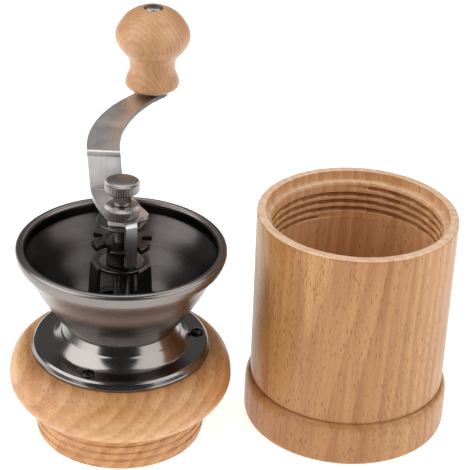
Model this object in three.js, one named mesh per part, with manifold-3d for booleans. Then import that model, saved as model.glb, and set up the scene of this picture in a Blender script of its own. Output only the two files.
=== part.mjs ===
// A hand coffee grinder with a conical burr. The grinding head stands on its
// threaded neck beside the open wooden jar that it screws onto.
// Millimetres, +Z up. The origin is the centre of the jar's foot.
import * as THREE from "three";
import { mergeVertices } from "three/addons/utils/BufferGeometryUtils.js";
import Module from "manifold-3d";

const wasm = await Module();
wasm.setup();

// ---------------------------------------------------------------- dimensions
const HEAD_AT = [-111, -20.9, 0]; // the head's axis, beside the jar
const COARSE = 12; // facets round a small turned piece
const MEDIUM = 20;
const FINE = 30; // facets round the wood and the hopper

const CUT = 1; // how far a cutter runs past the faces that it cuts
const JOIN = 1; // how far joined solids reach into each other
const PLAY = 0.2; // radial play of a screw or shaft in its hole
const SEAT_GAP = 0.1; // between a screw's head and its seat

const thread = { pitch: 4, depth: 1.3, crest: 1.2, root: 2.6, stepsPerTurn: 20, fade: 0.4 };

const jar = {
  height: 111.5,
  footRadius: 49.6,
  baseRadius: 50.4, // base ring, a little wider than the body
  baseHeight: 22,
  bodyRadius: 47.6,
  lipOuter: 48.2,
  lipInner: 43.9, // counterbore that takes the neck's shoulder
  lipDepth: 5,
  bore: 41, // crest of the internal thread
  threadTurns: 4,
  cavityRadius: 41.3,
  floor: 9,
};

const collar = {
  neckRoot: 40.4,
  neckFoot: 40.1,
  neckHeight: 18.5,
  neckMouth: 35, // flared outlet at the bottom
  threadTurns: 3.6,
  threadAngle: 135, // where the thread starts
  shoulder: 44,
  bulgeRadius: 54,
  bulgeAt: 30,
  underRound: 1.6, // superellipse exponents of the bulge, 2 being an ellipse
  upperRound: 2.15,
  top: 45,
  topRadius: 43.8,
  spigotRadius: 41.2, // raised land under the metal flange
  spigotTop: 48.2,
  seatRadius: 34, // counterbore for the burr housing
  seat: 44,
  bore: 27,
  threadStart: 0.6,
};

const flange = {
  lipRadius: 43.2,
  lipBottom: 45.3,
  shoulderRadius: 42.4, // the wall leans in from the lip to this shoulder
  shoulder: 48,
  wallTop: 41.4,
  ring: 49.3,
  ringInner: 33.9,
  creaseRadius: 28.7, // a cove rises to the crease and a cone from there
  crease: 54.9,
  neckRadius: 26.3,
  neckTop: 59,
  sheet: 0.8,
  screwCircle: 37,
  screwAngles: [250, 10, 130],
};

const hopper = {
  footRadius: 27,
  foot: 59.3,
  hole: 24.9,
  bowl: [[31.4, 66], [35.4, 72], [39.1, 78], [42.8, 85.5]], // outside, between foot and cone top
  coneTopRadius: 46.8,
  coneTop: 92.6,
  rimRadius: 50,
  rimInner: 45.4,
  rim: 98.2,
  rimRoll: 2, // height of the rolled edge above its widest line
  sheet: 1.2,
  wall: 1.4, // of the bowl, measured level
};

const housing = {
  outer: 24.5,
  bore: 21.5,
  bottom: 12,
  top: 63,
  web: 18.2, // throat between the two bores
  webBottom: 36,
  webTop: 46,
  flangeRadius: 33.6,
  flangeBottom: 44.3,
  flangeTop: 47.2,
  screwCircle: 29.3,
  screwAngles: [70, 190, 310],
};

const retainer = {
  inner: 19, outer: 24.4, bottom: 10.3, top: 11.8, screwCircle: 23, screwAngles: [30, 150, 270],
};

const burr = {
  bottom: 12.3,
  top: 33,
  innerFoot: 17.2,
  innerKnee: 15.2,
  kneeAt: 19,
  innerTop: 9.4,
  ringRadius: 21.2,
  ringTop: 35.7,
  gap: 0.8,
  ringThroat: 15.6,
  ringThroatAt: 25,
  ringMouth: 18.4,
  innerFlutes: 9,
  ringFlutes: 12,
  shoulder: 22, // step inside the burr that meets the shaft
};

const spider = {
  ringOuter: 21.2, ringInner: 17.2, bottom: 46.3, top: 50, hub: 6.8, bore: 5.3, armWidth: 4,
};

const bridge = {
  discRadius: 13.2,
  discTop: 91.9,
  sheet: 1.8,
  legWidth: 9,
  legTopRadius: 14,
  legFootRadius: 16.4,
  footTop: 52,
  footReach: 20.9,
  bore: 5.3,
  legAngles: [207, 327, 87],
  screwCircle: 18.9,
  dish: 0.8, // how far the disc's middle lies below its rim
  rimWidth: 2.7,
  depth: 2.2, // of the disc, from rim to underside
};

const shaft = {
  radius: 4,
  flat: 5.8, // across the two flats
  stud: 2.9,
  bottom: 4.5,
  lowerStudTop: 12.6,
  shoulder: 111,
  flatTop: 115.5,
  top: 131.2,
};

const wheel = {
  radius: 14.7, hub: 7, bottom: 92.4, rimBottom: 100.6, top: 103.2,
  notches: 6, notchRoot: 9.3, notchWidth: 6.6,
};

const crank = {
  sheet: 2,
  plate: 115.7, // top of the hub plate
  upper: 134.3, // top of the raised plate
  riserAt: 26.5,
  bend: 2.4,
  lean: -1.3, // sideways shift of the raised plate
  riserSlope: 0.14, // the riser leans back by this much per unit of height
  outerArc: { x: 69.5, y: 41.5, radius: 88 },
  innerArc: { x: 89.3, y: 42.5, radius: 92 },
  lobeRadius: 8,
  tabAngle: 297.5,
  tabFace: 11.7,
  tabWidth: 5.6,
  tabBottom: 93.6,
};

const grip = {
  x: 7.6, y: 101, bottom: 136.2, top: 178.9, bore: 2.9, screw: 2.5, head: 4.5, headSeat: 176.1,
};

const spring = {
  wire: 0.5, radius: 5.9, bottom: 35.2, pitch: 2.3, turns: 3.9, stepsPerTurn: 12,
};
const washers = {
  thrust: { radius: 7.3, bottom: 91.45, top: 92.2 },
  spring: { radius: 7.2, bottom: 33.3, top: 34.4 },
  burr: { radius: 7, bottom: 11.1, top: 12.1 },
  knob: { radius: 7, bottom: 134.45, top: 136 },
};
const nuts = {
  burr: { corner: 5.8, bottom: 6.2, top: 10.9 },
  knob: { corner: 4.4, bottom: 129.3, top: 132.15 },
};
const screws = {
  flange: { radius: 1.4, length: 12, head: 3, height: 1.5 },
  housing: { radius: 1.5, length: 12, head: 2.8, height: 1.6 },
  bridge: { radius: 1.25, length: 5.2, head: 1.9, height: 1.2 },
  retainer: { radius: 0.9, length: 5.5, head: 1.25, height: 0.9 },
};
const cross = { length: 1.1, width: 0.24, depth: 0.55 }; // shares of a screw head's size

const knurl = { radius: 8.2, teeth: 30, depth: 0.5 };
const lockNut = { bottom: 115.85, top: 121.5, faceRadius: 6, bevel: 1.5 };
const capNut = { bottom: 121.7, neck: 4.35, headBottom: 128.2, top: 134.1, blind: 131.7 };
const STUD_BORE = 3.15;

// ------------------------------------------------------------------- looks
const looks = {
  wood: { color: 0xc99a6b, roughness: 0.6, metalness: 0 },
  knobWood: { color: 0xb77a4e, roughness: 0.5, metalness: 0 },
  gunmetal: { color: 0x5a5552, roughness: 0.2, metalness: 1 },
  nickel: { color: 0x8a8480, roughness: 0.3, metalness: 1 },
  blackSteel: { color: 0x2a2827, roughness: 0.4, metalness: 1 },
  steel: { color: 0x9a9a9c, roughness: 0.35, metalness: 1 },
  ceramic: { color: 0xe9e6df, roughness: 0.45, metalness: 0 },
  bronze: { color: 0xa8743a, roughness: 0.45, metalness: 1 },
  polymer: { color: 0x26262a, roughness: 0.6, metalness: 0 },
};

// ------------------------------------------------------------ solid helpers
const WELD = 1e-4;
const radians = THREE.MathUtils.degToRad;

function signedVolume(places, corners) {
  const a = new THREE.Vector3();
  const b = new THREE.Vector3();
  const c = new THREE.Vector3();
  let volume = 0;
  for (let i = 0; i < corners.length; i += 3) {
    a.fromArray(places, corners[i] * 3);
    b.fromArray(places, corners[i + 1] * 3);
    c.fromArray(places, corners[i + 2] * 3);
    volume += a.dot(b.cross(c)) / 6;
  }
  return volume;
}

// A closed three.js geometry as a manifold solid that faces outward.
function solidOf(geometry) {
  const bare = geometry.clone();
  bare.deleteAttribute("normal");
  bare.deleteAttribute("uv");
  const welded = mergeVertices(bare, WELD);
  const places = Float32Array.from(welded.getAttribute("position").array);
  const corners = [];
  for (let i = 0; i < welded.index.count; i += 3) {
    const [a, b, c] = [0, 1, 2].map((k) => welded.index.getX(i + k));
    if (a !== b && b !== c && c !== a) {
      corners.push(a, b, c);
    }
  }
  if (signedVolume(places, corners) < 0) {
    corners.reverse();
  }
  return new wasm.Manifold(new wasm.Mesh({
    numProp: 3,
    vertProperties: places,
    triVerts: Uint32Array.from(corners),
  }));
}

// Turns a profile of [radius, z] points, closed on itself or on the axis.
function turned(profile, facets) {
  const points = profile.map(([radius, z]) => new THREE.Vector2(radius, z));
  if (profile[0][0] > 0) {
    points.push(points[0].clone());
  }
  return solidOf(new THREE.LatheGeometry(points, facets).rotateX(Math.PI / 2));
}

function rod(radius, bottom, top, facets = COARSE) {
  return turned([[0, bottom], [radius, bottom], [radius, top], [0, top]], facets);
}

function ring(outer, inner, bottom, top, facets = COARSE) {
  return turned([[inner, bottom], [outer, bottom], [outer, top], [inner, top]], facets);
}

// Extrudes an outline of [x, y] points upward from bottom to top.
function plate(outline, bottom, top) {
  const shape = new THREE.Shape(outline.map(([x, y]) => new THREE.Vector2(x, y)));
  const options = { depth: top - bottom, bevelEnabled: false };
  return solidOf(new THREE.ExtrudeGeometry(shape, options).translate(0, 0, bottom));
}

function block(width, depth, bottom, top, x = 0, y = 0) {
  const box = new THREE.BoxGeometry(width, depth, top - bottom);
  return solidOf(box.translate(x, y, (top + bottom) / 2));
}

// Extrudes an outline of [radial, z] points to a width across the +X radius,
// then swings it round to the given angle.
function radialPlate(outline, width, degrees) {
  const shape = new THREE.Shape(outline.map(([x, y]) => new THREE.Vector2(x, y)));
  const geometry = new THREE.ExtrudeGeometry(shape, { depth: width, bevelEnabled: false });
  geometry.translate(0, 0, -width / 2).rotateX(Math.PI / 2).rotateZ(radians(degrees));
  return solidOf(geometry);
}

// Quarter of a superellipse from the widest point to (endRadius, endZ).
function quarter(wideRadius, wideZ, endRadius, endZ, exponent, steps) {
  const points = [];
  for (let i = 0; i <= steps; i += 1) {
    const angle = (Math.PI / 2) * (i / steps);
    const out = Math.cos(angle) ** (2 / exponent);
    const up = Math.sin(angle) ** (2 / exponent);
    points.push([endRadius + (wideRadius - endRadius) * out, wideZ + (endZ - wideZ) * up]);
  }
  return points;
}

function around(radius, degrees) {
  return [radius * Math.cos(radians(degrees)), radius * Math.sin(radians(degrees))];
}

// Wraps a straight bar, drawn as [radial, z] outline, round a helix. Its
// radial height fades to nothing at the ends when fade is above zero.
function helix(outline, { radius, bottom, pitch, turns, stepsPerTurn, fade = 0 }) {
  const shape = new THREE.Shape(outline.map(([x, y]) => new THREE.Vector2(x, y)));
  const steps = Math.round(stepsPerTurn * turns);
  const bar = new THREE.ExtrudeGeometry(shape, { depth: 1, steps, bevelEnabled: false });
  const places = bar.getAttribute("position");
  for (let i = 0; i < places.count; i += 1) {
    const along = places.getZ(i);
    const end = Math.min(along, 1 - along) * turns;
    const height = fade > 0 ? Math.min(1, 0.02 + end / fade) : 1;
    const angle = along * turns * 2 * Math.PI;
    const reach = radius + places.getX(i) * height;
    const z = bottom + along * turns * pitch + places.getY(i);
    places.setXYZ(i, reach * Math.cos(angle), reach * Math.sin(angle), z);
  }
  return solidOf(bar);
}

// A rod with two flats, for the shaft and the holes that it drives.
function flatted(radius, acrossFlats, bottom, top) {
  return rod(radius, bottom, top).intersect(block(acrossFlats, 3 * radius, bottom, top));
}

// The hole that the shaft's flats drive.
function drivenBore(bottom, top) {
  return flatted(shaft.radius + PLAY, shaft.flat + 2 * PLAY, bottom, top);
}

// ------------------------------------------------------------- wooden parts
function makeJar() {
  const { height, bore, cavityRadius, floor } = jar;
  const threadTop = height - jar.lipDepth - 1.5;
  const threadBottom = threadTop - jar.threadTurns * thread.pitch - thread.root;
  const body = turned([
    [0, 0],
    [jar.footRadius, 0],
    [jar.baseRadius, 2.8],
    [jar.baseRadius, jar.baseHeight - 3.5],
    [jar.baseRadius - 0.8, jar.baseHeight - 1.2],
    [jar.bodyRadius + 0.6, jar.baseHeight],
    [jar.bodyRadius, jar.baseHeight + 0.8],
    [jar.lipOuter, height - 2.5],
    [jar.lipOuter - 0.5, height - 0.6],
    [jar.lipOuter - 1.2, height],
    [jar.lipInner + 0.4, height],
    [jar.lipInner, height - 0.5],
    [jar.lipInner, height - jar.lipDepth],
    [bore, threadTop],
    [bore, threadBottom],
    [cavityRadius, threadBottom - 0.6],
    [cavityRadius, floor + 4],
    [cavityRadius - 1.2, floor + 1.2],
    [cavityRadius - 4, floor],
    [0, floor],
  ], FINE);
  const half = thread.root / 2;
  const groove = helix([[-1, -half], [thread.depth, -thread.crest / 2],
    [thread.depth, thread.crest / 2], [-1, half]], {
    radius: bore,
    bottom: threadBottom + half,
    pitch: thread.pitch,
    turns: jar.threadTurns,
    stepsPerTurn: thread.stepsPerTurn,
    fade: thread.fade,
  });
  return body.subtract(groove);
}

function makeCollar() {
  const { shoulder, bulgeRadius, bulgeAt, neckHeight, topRadius, top } = collar;
  const underside = quarter(bulgeRadius, bulgeAt, shoulder, neckHeight, collar.underRound, 5).reverse();
  const upper = quarter(bulgeRadius, bulgeAt, topRadius, top, collar.upperRound, 5).slice(1);
  const body = turned([
    [collar.neckMouth, 0],
    [collar.neckFoot, 0],
    [collar.neckRoot, 0.6],
    [collar.neckRoot, neckHeight],
    ...underside,
    ...upper,
    [collar.spigotRadius, top],
    [collar.spigotRadius, collar.spigotTop],
    [collar.seatRadius, collar.spigotTop],
    [collar.seatRadius, collar.seat],
    [collar.bore, collar.seat],
    [collar.bore, neckHeight],
  ], FINE);
  const half = thread.root / 2;
  const ridge = helix([[-1, -half], [thread.depth, -thread.crest / 2],
    [thread.depth, thread.crest / 2], [-1, half]], {
    radius: collar.neckRoot,
    bottom: collar.threadStart + half,
    pitch: thread.pitch,
    turns: collar.threadTurns,
    stepsPerTurn: thread.stepsPerTurn,
    fade: thread.fade,
  }).rotate([0, 0, collar.threadAngle]);
  const coverBottom = flange.ring - screws.flange.length - 2 * CUT;
  const housingBottom = housing.flangeTop - screws.housing.length - 2 * CUT;
  const drilled = pierced(body.add(ridge), flange, screws.flange, coverBottom, collar.spigotTop);
  return pierced(drilled, housing, screws.housing, housingBottom, collar.seat);
}

// Drills the holes of a part's screw circle for its screws.
function pierced(solid, { screwCircle, screwAngles }, screw, bottom, top) {
  return screwAngles.reduce((rest, degrees) => {
    const [x, y] = around(screwCircle, degrees);
    return rest.subtract(rod(screw.radius + PLAY, bottom, top + CUT).translate([x, y, 0]));
  }, solid);
}

function makeKnob() {
  const { bottom, top, bore, head, headSeat } = grip;
  const outer = [[10.9, 0], [12.9, 0.8], [13.8, 2.5], [13.3, 5.4], [11.9, 9], [11.6, 12.2],
    [12, 15.2], [13.5, 18.3], [16.6, 21.8], [19, 27], [18.8, 30.2], [17.5, 33.5], [14.1, 38.2],
    [10.8, 40.7], [6.2, top - bottom]];
  return turned([
    [bore, bottom],
    ...outer.map(([radius, z]) => [radius, bottom + z]),
    [head + 0.3, top],
    [head + 0.3, headSeat],
    [bore, headSeat],
  ], MEDIUM);
}

// ----------------------------------------------------------- sheet metal
function makeFlange() {
  const { ringInner, creaseRadius, crease, neckRadius, ring: face, neckTop, sheet } = flange;
  const { lipRadius, lipBottom, shoulderRadius, shoulder, wallTop } = flange;
  const cove = [];
  const steps = 4;
  for (let i = 0; i <= steps; i += 1) {
    const part = i / steps;
    cove.push([
      ringInner + (creaseRadius - ringInner) * part,
      face + (crease - face) * part ** 1.5,
    ]);
  }
  const inside = cove.map(([radius, z]) => [radius - sheet, z - sheet]).reverse();
  const body = turned([
    [shoulderRadius - sheet, lipBottom],
    [lipRadius, lipBottom],
    [lipRadius, lipBottom + sheet],
    [shoulderRadius, shoulder],
    [wallTop, face],
    ...cove,
    [neckRadius, neckTop],
    [neckRadius - sheet, neckTop],
    ...inside,
    [wallTop, face - sheet],
    [shoulderRadius - sheet, shoulder - sheet],
  ], FINE);
  return pierced(body, flange, screws.flange, lipBottom, face);
}

function makeHopper() {
  const { footRadius, foot, hole, bowl, coneTopRadius, coneTop, rimRadius, rimInner, rim } = hopper;
  const { sheet, wall, rimRoll } = hopper;
  const middle = (rimRadius + rimInner) / 2;
  const half = (rimRadius - rimInner) / 2;
  const roll = [];
  for (let degrees = 0; degrees <= 180; degrees += 30) {
    const [out, up] = around(1, degrees);
    roll.push([middle + half * out, rim + rimRoll * up]);
  }
  return turned([
    [hole, foot],
    [footRadius, foot],
    [footRadius, foot + 0.6],
    ...bowl,
    [coneTopRadius, coneTop],
    [rimRadius - 1.6, coneTop + 1],
    [rimRadius - 0.4, coneTop + 3],
    ...roll,
    [rimInner, coneTop + 1.4],
    [coneTopRadius - sheet - 0.2, coneTop],
    ...bowl.map(([radius, z]) => [radius - wall, z]).reverse(),
    [footRadius - 0.9, foot + sheet],
    [hole, foot + sheet],
  ], FINE);
}

function makeBridge() {
  const { discRadius, discTop, sheet, legWidth, legTopRadius, legFootRadius, footTop } = bridge;
  const { bore, dish, rimWidth, depth } = bridge;
  const disc = turned([
    [bore, discTop - depth],
    [discRadius - depth, discTop - depth],
    [discRadius, discTop - sheet],
    [discRadius, discTop],
    [discRadius - 1, discTop],
    [discRadius - rimWidth, discTop - dish],
    [bore, discTop - dish],
  ], MEDIUM);
  const leg = [
    [discRadius - rimWidth - 0.3, discTop - dish - 0.1],
    [discRadius - 1, discTop],
    [legTopRadius - 0.9, discTop],
    [legTopRadius, discTop - 0.9],
    [legFootRadius, footTop],
    [bridge.footReach, footTop],
    [bridge.footReach, footTop - sheet],
    [legFootRadius - sheet, footTop - sheet],
    [legTopRadius - sheet, discTop - sheet - 0.4],
    [discRadius - rimWidth - 0.3, discTop - sheet - 0.4],
  ];
  const whole = bridge.legAngles.reduce(
    (rest, degrees) => rest.add(radialPlate(leg, legWidth, degrees)),
    disc,
  );
  const holes = { screwCircle: bridge.screwCircle, screwAngles: bridge.legAngles };
  return pierced(whole, holes, screws.bridge, footTop - 2 * sheet, footTop);
}

// ------------------------------------------------------------ burr assembly
function makeHousing() {
  const { outer, bore, bottom, top, web, webBottom, webTop } = housing;
  const { flangeRadius, flangeBottom, flangeTop } = housing;
  const body = turned([
    [bore, bottom],
    [outer, bottom],
    [outer, flangeBottom],
    [flangeRadius, flangeBottom],
    [flangeRadius, flangeTop],
    [outer, flangeTop],
    [outer, top - 0.5],
    [outer - 0.5, top],
    [bore + 0.5, top],
    [bore, top - 0.5],
    [bore, webTop],
    [web, webTop],
    [web, webBottom],
    [bore, webBottom],
  ], FINE);
  const drilled = pierced(body, housing, screws.housing, flangeBottom - CUT, flangeTop);
  return pierced(drilled, retainer, screws.retainer, bottom - CUT, bottom + screws.retainer.length);
}

function makeRetainer() {
  const { inner, outer, bottom, top } = retainer;
  return pierced(ring(outer, inner, bottom, top, FINE), retainer, screws.retainer, bottom - CUT, top);
}

// Cuts slanted grooves into the working face of a burr.
function fluted(solid, count, radius, slant, bottom, top) {
  const length = top - bottom;
  const diamond = [[-0.9, 0], [0, -0.7], [0.9, 0], [0, 0.7]];
  const cutter = new THREE.Shape(diamond.map(([x, y]) => new THREE.Vector2(x, y)));
  let rest = solid;
  for (let i = 0; i < count; i += 1) {
    const bar = new THREE.ExtrudeGeometry(cutter, { depth: length, bevelEnabled: false });
    bar.rotateX(radians(slant.twist)).rotateY(radians(slant.tilt)).translate(radius, 0, bottom);
    bar.rotateZ(radians((360 * i) / count));
    rest = rest.subtract(solidOf(bar));
  }
  return rest;
}

function makeInnerBurr() {
  const { bottom, top, innerFoot, innerKnee, kneeAt, innerTop } = burr;
  const cone = turned([
    [0, bottom], [innerFoot, bottom], [innerKnee, kneeAt], [innerTop, top], [0, top],
  ], MEDIUM);
  const tilt = -Math.atan2(innerKnee - innerTop, top - kneeAt) * THREE.MathUtils.RAD2DEG;
  const cut = fluted(cone, burr.innerFlutes, innerKnee + 1, { twist: 18, tilt }, kneeAt - 4, top + 4);
  return cut
    .subtract(drivenBore(bottom - CUT, burr.shoulder + JOIN / 2))
    .subtract(rod(shaft.radius + PLAY, burr.shoulder, top + CUT));
}

function makeOuterBurr() {
  const { bottom, innerFoot, innerKnee, kneeAt, gap, ringRadius, ringTop } = burr;
  const body = turned([
    [innerFoot + gap, bottom],
    [ringRadius, bottom],
    [ringRadius, ringTop],
    [burr.ringMouth, ringTop],
    [burr.ringThroat, burr.ringThroatAt],
    [innerKnee + gap, kneeAt],
  ], FINE);
  const face = burr.ringThroat + 0.6;
  return fluted(body, burr.ringFlutes, face, { twist: -16, tilt: 0 }, bottom - CUT, ringTop + CUT);
}

function makeSpider() {
  const { ringOuter, ringInner, bottom, top, hub, bore, armWidth } = spider;
  const arms = bridge.legAngles.map((degrees) => {
    const reach = ringInner + JOIN;
    const bar = new THREE.BoxGeometry(reach, armWidth, top - bottom - 0.6);
    bar.translate(reach / 2, 0, (top + bottom) / 2).rotateZ(radians(degrees + 60));
    return solidOf(bar);
  });
  const whole = arms.reduce(
    (rest, arm) => rest.add(arm),
    ring(ringOuter, ringInner, bottom, top, FINE).add(rod(hub, bottom, top)),
  );
  const holes = { screwCircle: bridge.screwCircle, screwAngles: bridge.legAngles };
  return pierced(whole, holes, screws.bridge, bottom - CUT, top)
    .subtract(rod(bore, bottom - CUT, top + CUT));
}

function makeGuideBush() {
  const { bottom, top, bore } = spider;
  const inner = shaft.radius + PLAY;
  return turned([
    [inner, bottom - 1.3], [bore + 1.3, bottom - 1.3], [bore + 1.3, bottom - 0.3],
    [bore - 0.2, bottom - 0.3], [bore - 0.2, top + 0.6], [inner, top + 0.6],
  ], COARSE);
}

function makeBridgeBush() {
  const under = bridge.discTop - 2.5;
  const inner = shaft.radius + PLAY;
  return turned([
    [inner, under - 3], [bridge.bore + 1.2, under - 3], [bridge.bore + 1.2, under],
    [bridge.bore - 0.2, under], [bridge.bore - 0.2, bridge.discTop - 0.6],
    [inner, bridge.discTop - 0.6],
  ], COARSE);
}

// ------------------------------------------------------------ turning parts
function makeShaft() {
  const { radius, flat, stud, bottom, lowerStudTop, shoulder, flatTop, top } = shaft;
  return rod(stud, bottom, lowerStudTop + JOIN)
    .add(flatted(radius, flat, lowerStudTop, burr.shoulder + JOIN))
    .add(rod(radius, burr.shoulder + 0.4, shoulder))
    .add(flatted(radius, flat, shoulder - JOIN, flatTop))
    .add(rod(stud, flatTop - JOIN, top));
}

function makeSpring() {
  const wire = [];
  for (let degrees = 0; degrees < 360; degrees += 90) {
    wire.push(around(spring.wire, degrees));
  }
  return helix(wire, spring);
}

// A straight-sided slot that runs outward from a radius at the given angle.
function radialSlot(root, width, degrees, bottom, top) {
  const slot = new THREE.BoxGeometry(20, width, top - bottom);
  slot.translate(root + 10, 0, (top + bottom) / 2).rotateZ(radians(degrees));
  return solidOf(slot);
}

function makeWheel() {
  const { radius, hub, bottom, rimBottom, top, notches, notchRoot, notchWidth } = wheel;
  const body = turned([
    [0, bottom], [hub, bottom], [hub, rimBottom + 1.2], [radius, rimBottom], [radius, top - 0.4],
    [radius - 0.4, top], [0, top],
  ], FINE);
  let cut = body;
  for (let i = 0; i < notches; i += 1) {
    const angle = crank.tabAngle + (360 * i) / notches;
    cut = cut.subtract(radialSlot(notchRoot, notchWidth, angle, bottom - CUT, top + CUT));
  }
  return cut.subtract(rod(shaft.radius + PLAY, bottom - CUT, top + CUT));
}

function makeDriveWasher() {
  const under = shaft.shoulder + 0.1;
  const top = under + 2.3;
  const dish = turned([
    [0, under], [8.6, under], [11.8, under + 1.1], [11.8, top - 0.1], [11, top], [0, top],
  ], MEDIUM);
  return dish
    .subtract(radialSlot(wheel.notchRoot, wheel.notchWidth, crank.tabAngle, under - CUT, top + CUT))
    .subtract(drivenBore(under - CUT, top + CUT));
}

// ------------------------------------------------------------ crank and nuts
// x of an edge arc at y; both edges bow towards -X.
function edgeX(arc, y) {
  return arc.x - Math.sqrt(arc.radius ** 2 - (y - arc.y) ** 2);
}

function crankOutline() {
  const { outerArc, innerArc, lobeRadius } = crank;
  const outline = [];
  const steps = 12;
  const [innerStart, innerEnd] = [25, grip.y - 8.2];
  for (let i = 0; i <= steps; i += 1) {
    const y = innerStart + ((innerEnd - innerStart) * i) / steps;
    outline.push([edgeX(innerArc, y), y]);
  }
  for (let degrees = -50; degrees <= 170; degrees += 20) {
    const [x, y] = around(lobeRadius, degrees);
    outline.push([grip.x - crank.lean + x, grip.y + y]);
  }
  const [outerStart, outerEnd] = [grip.y - 5.5, -4.5];
  for (let i = 0; i <= steps + 4; i += 1) {
    const y = outerStart + ((outerEnd - outerStart) * i) / (steps + 4);
    outline.push([edgeX(outerArc, y), y]);
  }
  // front edge, the tab's root, then the ear and its flank
  outline.push([-6, -7.2], [-4.6, -8], [1.6, -8.9], [3.4, -8.6]);
  outline.push([7.6, -6.2], [8.4, -3.6], [10.1, -1.5], [11.9, -0.2]);
  outline.push([12.3, 1.4], [11.2, 4.2], [8.5, 8.6], [5.6, 14.5], [1.6, 20.5]);
  return outline;
}

// Side view of the bent strip, [y, z], with round bends.
function crankSection() {
  const { sheet, plate: low, upper, riserAt, riserSlope, bend } = crank;
  const middle = (low + upper - sheet) / 2;
  const [front, back] = [riserAt - sheet / 2, riserAt + sheet / 2];
  const tight = bend - sheet;
  const corner = (y, z, radius, from, to) => {
    const points = [];
    for (let i = 0; i <= 3; i += 1) {
      const [dy, dz] = around(radius, from + ((to - from) * i) / 3);
      points.push([y + dy, z + dz]);
    }
    return points;
  };
  return [
    [-20, low - sheet],
    ...corner(back - bend, low - sheet + bend, bend, -90, 0),
    ...corner(back + tight, upper - sheet - tight, tight, 180, 90),
    [115, upper - sheet],
    [115, upper],
    ...corner(front + bend, upper - bend, bend, 90, 180),
    ...corner(front - tight, low + tight, tight, 0, -90),
    [-20, low],
  ].map(([y, z]) => [y + riserSlope * (z - middle), z]);
}

function makeCrank() {
  const { sheet, plate: low, upper, lean, tabFace, tabBottom } = crank;
  const strip = new THREE.Shape(crankSection().map(([y, z]) => new THREE.Vector2(y, z)));
  const long = new THREE.ExtrudeGeometry(strip, { depth: 60, bevelEnabled: false });
  // the outline's x, y, z become the part's Y, Z, X
  long.applyMatrix4(new THREE.Matrix4().makeBasis(
    new THREE.Vector3(0, 1, 0), new THREE.Vector3(0, 0, 1), new THREE.Vector3(1, 0, 0),
  )).translate(-30, 0, 0);
  const flatArm = plate(crankOutline(), low - 2 * sheet, upper + sheet).intersect(solidOf(long));
  const leaning = flatArm.warp((point) => {
    const rise = THREE.MathUtils.clamp((point[2] - low) / (upper - sheet - low), 0, 1);
    point[0] += lean * rise;
  });
  const tabBack = tabFace - sheet;
  const tab = radialPlate([
    [6.5, low - sheet + 0.01], [tabBack - 0.6, low - sheet + 0.01], [tabBack, low - sheet - 0.6],
    [tabBack, tabBottom], [tabFace, tabBottom], [tabFace, low - 1.6], [tabFace - 0.5, low - 0.5],
    [tabFace - 1.7, low - 0.01], [6.5, low - 0.01],
  ], crank.tabWidth, crank.tabAngle);
  const screwHole = rod(grip.screw + PLAY, upper - sheet - CUT, upper + CUT);
  return leaning
    .add(tab)
    .subtract(drivenBore(low - sheet - CUT, low + CUT))
    .subtract(screwHole.translate([grip.x, grip.y, 0]));
}

// A knurled rim between bottom and top, with both edges bevelled.
function knurled(bottom, top, faceRadius, bevel) {
  const outline = [];
  const { radius, teeth, depth } = knurl;
  for (let i = 0; i < teeth; i += 1) {
    outline.push(around(radius, (360 * i) / teeth));
    outline.push(around(radius - depth, (360 * (i + 0.5)) / teeth));
  }
  const envelope = turned([
    [0, bottom], [radius - 0.6, bottom], [radius + 0.1, bottom + 0.7],
    [radius + 0.1, top - bevel], [faceRadius, top], [0, top],
  ], MEDIUM);
  return plate(outline, bottom, top).intersect(envelope);
}

function makeLockNut() {
  const { bottom, top, faceRadius, bevel } = lockNut;
  return knurled(bottom, top, faceRadius, bevel).subtract(rod(STUD_BORE, bottom - CUT, top + CUT));
}

function makeCapNut() {
  const { bottom, neck, headBottom, top, blind } = capNut;
  return knurled(headBottom, top, knurl.radius - 0.7, 0.7)
    .add(rod(neck, bottom, headBottom + JOIN))
    .subtract(rod(STUD_BORE, bottom - CUT, blind));
}

// ----------------------------------------------------------------- fasteners
// Pan-head screw; its head's underside is at z = 0.
function panScrew({ radius, length, head: headRadius, height }) {
  return turned([
    [0, -length], [radius, -length + radius * 1.5], [radius, 0], [headRadius, 0],
    [headRadius, height * 0.55], [headRadius * 0.72, height], [0, height],
  ], COARSE);
}

function crossRecessed(body, headRadius, top, depth) {
  const long = headRadius * cross.length;
  const wide = headRadius * cross.width;
  return body
    .subtract(block(long, wide, top - depth, top + CUT))
    .subtract(block(wide, long, top - depth, top + CUT));
}

function makeKnobScrew() {
  const { screw, head: headRadius, headSeat, top } = grip;
  const seat = headSeat + SEAT_GAP;
  const end = nuts.knob.bottom - 0.4;
  const crown = top + 0.9;
  const body = turned([
    [0, end], [screw, end], [screw, seat], [headRadius, seat], [headRadius, top - 0.4],
    [headRadius * 0.7, crown - 0.3], [0, crown],
  ], COARSE);
  return crossRecessed(body, headRadius, crown, cross.depth * 3);
}

function hexNut({ corner, bottom, top }, bore) {
  const outline = [];
  for (let degrees = 0; degrees < 360; degrees += 60) {
    outline.push(around(corner, degrees));
  }
  return plate(outline, bottom, top).subtract(rod(bore, bottom - CUT, top + CUT));
}

function washer({ radius, bottom, top }, bore) {
  return ring(radius, bore, bottom, top);
}

// ------------------------------------------------------------------ assembly
const grinder = new THREE.Group();
const head = new THREE.Group();
head.position.set(...HEAD_AT);
grinder.add(head);

function place(name, solid, look, parent = head, at = [0, 0, 0]) {
  const shape = solid.getMesh();
  const geometry = new THREE.BufferGeometry();
  const places = Float32Array.from(shape.vertProperties);
  geometry.setAttribute("position", new THREE.BufferAttribute(places, 3));
  geometry.setIndex(new THREE.BufferAttribute(Uint32Array.from(shape.triVerts), 1));
  geometry.computeVertexNormals();
  const mesh = new THREE.Mesh(geometry, new THREE.MeshStandardMaterial(looks[look]));
  mesh.name = name;
  mesh.position.set(...at);
  parent.add(mesh);
}

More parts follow.
